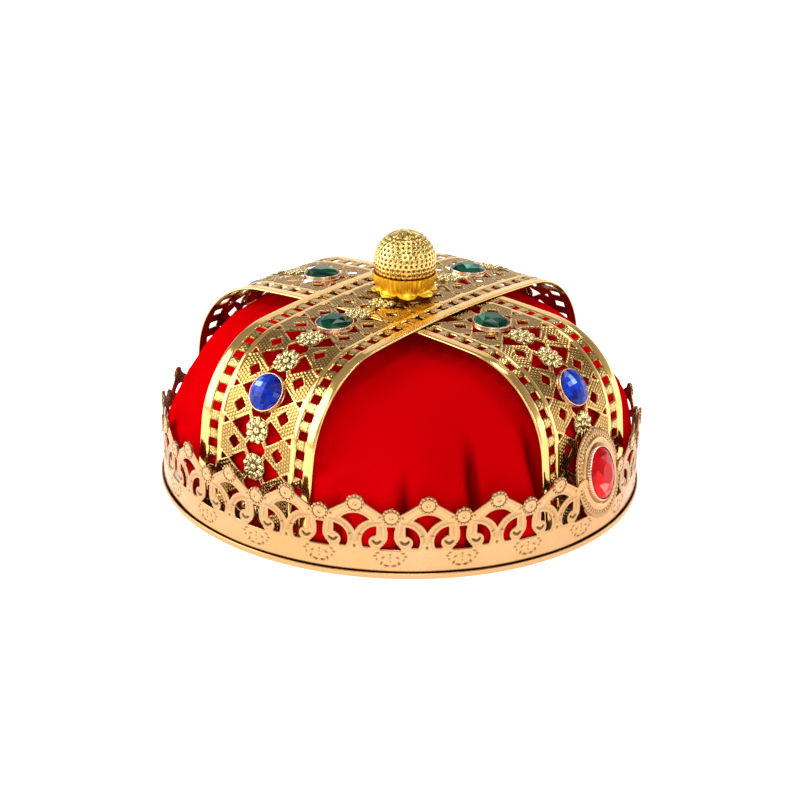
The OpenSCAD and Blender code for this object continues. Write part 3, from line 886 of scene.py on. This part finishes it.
def add_red_gem(material):
    rings = ((1, 1, 2.6, 16, 0), (0.96, 0.96, 3.0, 16, 0), (0.74, 0.76, 4.3, 8, 0.5), (0.40, 0.42, 5.2, 8, 0))
    gem = cut_rings([(OVAL_A * wide, OVAL_B * tall, *rest) for wide, tall, *rest in rings])
    piece = add_piece("red_gem", Mesh().add_mesh(gem, medallion_put), material, ["red_stone"],
                      sharp=0)
    paint_facet_light(piece, gem, OVAL_B, 5)


# ---- finial ----


def add_ball(material):
    """A ball stamped with pits in offset rows, with flutes round a plain top."""
    columns, rows = 256, 132
    pits_around, pit_step, pit_depth = 36, math.radians(9.0), 0.5
    flutes, flute_end, plain_end = 14, math.radians(30), math.radians(9)
    polar = np.linspace(0, math.pi, rows + 1)[1:-1, None] * np.ones(columns)
    theta = np.ones((rows - 1, 1)) * circle(columns)
    pit = np.full(polar.shape, FAR)
    for reach in (-1, 0, 1):
        row = np.floor(polar / pit_step) + reach
        middle = (row + 0.5) * pit_step
        around = np.maximum(4, np.round(pits_around * np.sin(np.clip(middle, 0.1, math.pi - 0.1))))
        cell = theta / TAU * around + 0.5 * (row % 2)
        aside = (cell - np.floor(cell) - 0.5) * TAU / around * np.sin(polar)
        pit = np.minimum(pit, np.hypot(aside, polar - middle))
    sunk = smooth(1.25 - pit / (0.36 * pit_step))
    sunk = np.where(polar > flute_end + 0.07, sunk, 0)
    flute = (polar > plain_end) & (polar < flute_end)
    gap = smooth(1.6 * (0.5 + 0.5 * np.cos(flutes * theta)) - 0.75)
    sunk = np.where(flute, 0.7 * gap, sunk)
    ring = np.maximum(bulge((polar - flute_end - 0.03) / 0.035), 0.6 * bulge((polar - plain_end) / 0.03))
    sunk = np.maximum(sunk, 0.8 * ring)
    radius = BALL_R - pit_depth * sunk
    verts = np.stack([radius * np.sin(polar) * np.cos(theta), radius * np.sin(polar) * np.sin(theta),
                      BALL_Z + radius * np.cos(polar)], -1).reshape(-1, 3)
    count = len(verts)
    verts = np.concatenate([verts, [[0, 0, BALL_Z + BALL_R], [0, 0, BALL_Z - BALL_R]]])
    faces = [face[::-1] for face in grid_faces(rows - 1, columns)]
    faces += [[j, (j + 1) % columns, count] for j in range(columns)]
    last = count - columns
    faces += [[last + (j + 1) % columns, last + j, count + 1] for j in range(columns)]
    # the pits, flutes and rings are painted in shade as deep as they are sunk
    mesh = Mesh().add(verts, faces, np.concatenate([sunk.ravel(), [0, 0]]))
    add_piece("studded_ball", mesh, material, ["finial_ball"], sharp=0).data.shade_smooth()


def add_cup(material):
    """The cup under the ball: a ribbed wall, and eight petals that turn outwards at the bottom."""
    petals, ribs = 8, 40

    def shape(angle, r, z):
        petal = np.abs(np.cos(petals * angle / 2))
        flare = smooth((CUP_Z + 2.4 - z) / 2.2) * smooth((r - 8) / 3)
        rib = smooth((z - CUP_Z - 2.6) / 1) * smooth((r - 10.8) / 0.6)
        r = r - flare * 2.6 * (1 - petal) - rib * 0.18 * np.cos(ribs * angle)
        return r, z - flare * 0.5 * petal

    profile = [(r, CUP_Z + z) for r, z in (
        (2, 0.2), (8, 0.1), (10.6, -0.1), (12.4, -0.05), (13.3, 0.3), (13.2, 0.6), (12.4, 0.8), (11.6, 1.5),
        (11.5, 2.4), (11.9, 3.2), (12.3, 4.2), (12.6, 5.4), (12.75, 6.6), (12.8, 7.2), (12.5, 7.3),
        (12.2, 7.0), (11, 4.2), (8, 2), (2, 1.6))]
    cup = Mesh().add(*lathe(profile, 320, shape, closed=True))
    add_piece("petal_cup", cup, material, ["finial_cup"])


def add_neck(material):
    """A short knurled collar between the cup and the crossing."""
    flutes = 30

    def shape(angle, r, z):
        return np.where(r > 5, r - 0.25 + 0.25 * np.cos(flutes * angle), r), z

    profile = [(3, SEAT_Z + 0.02), (5.4, SEAT_Z + 0.02), (5.5, SEAT_Z + 0.4), (5.35, CUP_Z - 0.4),
               (5.5, CUP_Z), (3, CUP_Z)]
    neck = Mesh().add(*lathe(profile, 240, shape, closed=True))
    add_piece("knurled_neck", neck, material, ["finial_neck"])


# ---- materials ----


def set_inputs(target, **values):
    """Gives a node's inputs their values, or links them to the outputs given."""
    for key, value in values.items():
        socket = target.inputs[key.replace("_", " ")]
        if isinstance(value, bpy.types.NodeSocket):
            target.id_data.links.new(value, socket)
        else:
            socket.default_value = value


def new_material(name, colour, metallic, roughness):
    material = bpy.data.materials.new(name)
    material.use_nodes = True
    material.diffuse_color = (*colour, 1)
    shader = material.node_tree.nodes["Principled BSDF"]
    set_inputs(shader, Base_Color=(*colour, 1), Metallic=metallic, Roughness=roughness)
    return material, material.node_tree, shader


def node(tree, kind, **values):
    """Adds a node; capitalised names are its inputs and the others its own settings."""
    made = tree.nodes.new(kind)
    for key, value in values.items():
        if key[0].isupper():
            set_inputs(made, **{key: value})
        else:
            setattr(made, key, value)
    return made


def noise(tree, scale, detail=3.0):
    where = node(tree, "ShaderNodeTexCoord").outputs["Object"]
    return node(tree, "ShaderNodeTexNoise", Vector=where, Scale=scale, Detail=detail).outputs["Fac"]


def attribute(tree, name):
    return node(tree, "ShaderNodeAttribute", attribute_name=name).outputs["Fac"]


def ramp(tree, source, low, high, start=0.35, end=0.65):
    """A run from low to high while the source goes from start to end."""
    made = node(tree, "ShaderNodeMapRange", Value=source, From_Min=start, From_Max=end, To_Min=low,
                To_Max=high)
    return made.outputs["Result"]


def mix(tree, factor, first, second):
    """A run from the first colour to the second; each is a colour or an output."""
    made = node(tree, "ShaderNodeMix", data_type="RGBA")
    for index, value in ((0, factor), (6, first), (7, second)):
        if isinstance(value, tuple):
            made.inputs[index].default_value = (*value, 1)
        else:
            tree.links.new(value, made.inputs[index])
    return made.outputs[2]


def add_bump(tree, shader, source, distance, strength=1.0):
    bump = node(tree, "ShaderNodeBump", Strength=strength, Distance=distance, Height=source)
    set_inputs(shader, Normal=bump.outputs["Normal"])


def gold(name, colour, deep, smoothest, roughest, dent, dent_scale):
    """Plated gold: painted shade darkens its hollows, with uneven polish and slight dents."""
    material, tree, shader = new_material(name, colour, 1.0, smoothest)
    warm = tuple(c * k for c, k in zip(colour, (1.0, 0.93, 0.80)))
    toned = mix(tree, ramp(tree, noise(tree, 45), 0, 1), colour, warm)
    # deep is the colour of the painted shade in the hollows
    set_inputs(shader, Base_Color=mix(tree, attribute(tree, "grime"), toned, deep),
               Roughness=ramp(tree, noise(tree, 260), smoothest, roughest))
    add_bump(tree, shader, noise(tree, dent_scale, 2), dent)
    return material


def satin(name, colour, shade):
    """Satin: fine upright threads, soft changes of tone at random, and painted shade in the creases."""
    material, tree, shader = new_material(name, colour, 0.0, 0.6)
    where = node(tree, "ShaderNodeTexCoord").outputs["Object"]
    stretch = node(tree, "ShaderNodeMapping", Vector=where, Scale=(1, 1, 0.25))
    thread = node(tree, "ShaderNodeTexNoise", Vector=stretch.outputs["Vector"], Scale=2600, Detail=2)
    soft = mix(tree, ramp(tree, noise(tree, 14, 2), 0, 1), colour, shade)
    # deep is the colour of the painted shade in the creases
    deep = tuple(0.4 * c for c in shade)
    set_inputs(shader, Base_Color=mix(tree, attribute(tree, "grime"), soft, deep), Sheen_Weight=0.2,
               Sheen_Roughness=0.4, Sheen_Tint=(1, 0, 0, 1), Specular_IOR_Level=0)
    add_bump(tree, shader, thread.outputs["Fac"], 0.00006, 0.6)
    return material


def glass(name, shaded_facet, lit_facet, painted_glint):
    """Foil-backed cut glass: each facet is painted its own brightness of reflected light, and the brightest
    ones get a painted glint.
    """
    material, tree, shader = new_material(name, lit_facet, 0.0, 0.06)
    painted_facet_light = attribute(tree, "painted_facet_light")
    painted_glint_share = ramp(tree, painted_facet_light, 0, 1, 0.72, 1.0)
    # painted light: from shaded to lit facet colour, then to a painted white glint
    set_inputs(shader, Base_Color=mix(tree, painted_glint_share, mix(tree, painted_facet_light, shaded_facet, lit_facet), painted_glint),
               Roughness=ramp(tree, noise(tree, 120), 0.03, 0.09), Specular_IOR_Level=0.2)
    return material


def plain_metal(name, colour, roughness):
    material, tree, shader = new_material(name, colour, 1.0, roughness)
    set_inputs(shader, Roughness=ramp(tree, noise(tree, 300), roughness - 0.08, roughness + 0.1))
    add_bump(tree, shader, noise(tree, 900), 0.00003)
    return material


# ---- the scene ----

CAMERA_AZIMUTH, CAMERA_ELEVATION = -52.34, 22.365
CAMERA_DISTANCE, CAMERA_TARGET = 716.456, (0, 0, 35)
CAMERA_LENS, CAMERA_ROLL = 79.1, math.radians(1.4504)
CAMERA_SHIFT = (-0.00224, -0.0153)


def towards(azimuth, elevation):
    """A unit vector; azimuth 0 is the front, and both angles are in degrees."""
    a, e = math.radians(azimuth), math.radians(elevation)
    return Vector((math.sin(a) * math.cos(e), -math.cos(a) * math.cos(e), math.sin(e)))


def add_camera():
    back = towards(CAMERA_AZIMUTH, CAMERA_ELEVATION)
    data = bpy.data.cameras.new("camera")
    data.lens, data.sensor_width = CAMERA_LENS, 36
    data.shift_x, data.shift_y = CAMERA_SHIFT
    data.clip_start, data.clip_end = 0.05, 50
    camera = new_object("camera", data)
    turn = back.to_track_quat("Z", "Y").to_matrix().to_4x4()
    place = Matrix.Translation((Vector(CAMERA_TARGET) + back * CAMERA_DISTANCE) * MM)
    camera.matrix_world = place @ turn @ Matrix.Rotation(CAMERA_ROLL, 4, "Z")
    scene.camera = camera


FLOOR_HALF, FLOOR_Z, FLOOR_GLOW = 6.0, -0.0002, 0.55


def add_floor():
    data = bpy.data.meshes.new("floor")
    s = FLOOR_HALF
    data.from_pydata([(-s, -s, 0), (s, -s, 0), (s, s, 0), (-s, s, 0)], [], [(0, 1, 2, 3)])
    material, tree, shader = new_material("floor_white", (0.93, 0.93, 0.93), 0.0, 0.7)
    set_inputs(shader, Roughness=ramp(tree, noise(tree, 3), 0.65, 0.75), Specular_IOR_Level=0,
               Emission_Color=(1, 1, 1, 1), Emission_Strength=FLOOR_GLOW)
    data.materials.append(material)
    floor = new_object("floor", data)
    floor.location.z = FLOOR_Z


# name, azimuth and elevation in degrees, then distance, width and height in metres, and watts
SOFT_BOXES = (("key", -138, 27, 1.6, 1.3, 1.3, 20), ("front", -48, 34, 1.6, 0.6, 0.6, 6),
              ("front_right", 15, 24, 1.7, 0.4, 0.4, 2), ("low_right", 58, 5, 1.8, 1.3, 0.5, 3.2),
              ("right", 88, 50, 1.8, 0.4, 0.4, 3), ("back", 128, 24, 1.8, 1.5, 0.9, 2.2),
              ("top", 60, 80, 1.7, 0.4, 0.4, 4), ("ceiling", -52, 66, 1.8, 1.1, 1.1, 5))


def add_soft_box(name, azimuth, elevation, distance, width, height, power):
    back = towards(azimuth, elevation)
    data = bpy.data.lights.new(name, "AREA")
    data.shape, data.size, data.size_y = "RECTANGLE", width, height
    data.energy = power
    light = new_object(name, data)
    light.location = back * distance + Vector((0, 0, 0.04))
    light.rotation_mode = "QUATERNION"
    light.rotation_quaternion = back.to_track_quat("Z", "Y")


# brightness of the surroundings, from straight down (0) past the horizon (0.5) to straight up (1)
STUDIO = ((0.0, 0.9), (0.50, 0.80), (0.62, 0.74), (0.66, 0.50), (0.74, 0.42), (0.80, 0.29), (1.0, 0.42))


def add_world():
    """A studio seen in the gold: pale to a little above the horizon, and grey higher up."""
    world = bpy.data.worlds.new("studio")
    world.use_nodes = True
    tree = world.node_tree
    where = node(tree, "ShaderNodeTexCoord").outputs["Generated"]
    up = node(tree, "ShaderNodeSeparateXYZ", Vector=where).outputs["Z"]
    shades = node(tree, "ShaderNodeValToRGB", Fac=ramp(tree, up, 0, 1, -1, 1))
    stops = shades.color_ramp.elements
    while len(stops) < len(STUDIO):
        stops.new(0.5)
    for stop, (position, level) in zip(stops, STUDIO):
        stop.position = position
        stop.color = (level, level * 0.985, level * 0.96, 1)
    set_inputs(tree.nodes["Background"], Color=shades.outputs["Color"], Strength=1.0)
    scene.world = world


add_camera()

# the second colour of each gold is the painted shade in its hollows
gold_band = gold("gold_band", (0.68, 0.40, 0.195), (0.06, 0.03, 0.008), 0.20, 0.30, 0.00010, 60)
gold_strap = gold("gold_strap", (0.94, 0.60, 0.22), (0.15, 0.065, 0.006), 0.10, 0.17, 0.00004, 500)
gold_trim = gold("gold_trim", (0.92, 0.64, 0.22), (0.06, 0.035, 0.004), 0.13, 0.22, 0.00003, 700)
gold_pale = gold("gold_pale", (0.86, 0.68, 0.35), (0.04, 0.035, 0.01), 0.12, 0.20, 0.00003, 700)
gold_deep = gold("gold_deep", (1.0, 0.66, 0.055), (0.30, 0.13, 0.005), 0.28, 0.40, 0.00003, 500)
gold_pink = gold("gold_pink", (0.80, 0.56, 0.42), (0.25, 0.12, 0.06), 0.16, 0.26, 0.00002, 600)
red_satin = satin("red_satin", (0.55, 0.0, 0.0017), (0.43, 0.0, 0.0013))
# each glass: the colour of its shaded facets, of its lit facets, and of its painted glint
green_glass = glass("green_glass", (0.0, 0.007, 0.004), (0.0, 0.13, 0.062), (0.20, 0.50, 0.40))
blue_glass = glass("blue_glass", (0.0, 0.0, 0.10), (0.01, 0.07, 0.80), (0.40, 0.58, 0.98))
red_glass = glass("red_glass", (0.26, 0.0, 0.002), (1.0, 0.0, 0.0), (1.0, 0.20, 0.18))
solder_metal = plain_metal("solder_metal", (0.80, 0.66, 0.38), 0.45)
screw_metal = plain_metal("screw_metal", (0.78, 0.74, 0.62), 0.35)

add_straps(gold_strap)
add_strap_rosettes(gold_pale)
add_band(gold_band)
add_band_rosettes(gold_band)
add_hem(gold_band)
add_cap(red_satin)
add_stones(green_glass, blue_glass, gold_pink)
add_plate(gold_band)
add_red_setting(gold_pink)
add_red_gem(red_glass)
add_ball(gold_trim)
add_cup(gold_deep)
add_neck(gold_deep)

for kept, finish in (("solder_joints", solder_metal), ("medallion_post", solder_metal),
                     ("band_seam_rivets", gold_band), ("finial_washer", screw_metal),
                     ("finial_screw", screw_metal)):
    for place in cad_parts[kept].material_slots:
        place.material = finish

add_floor()
add_world()
for box in SOFT_BOXES:
    add_soft_box(*box)
scene.view_settings.view_transform = "Standard"
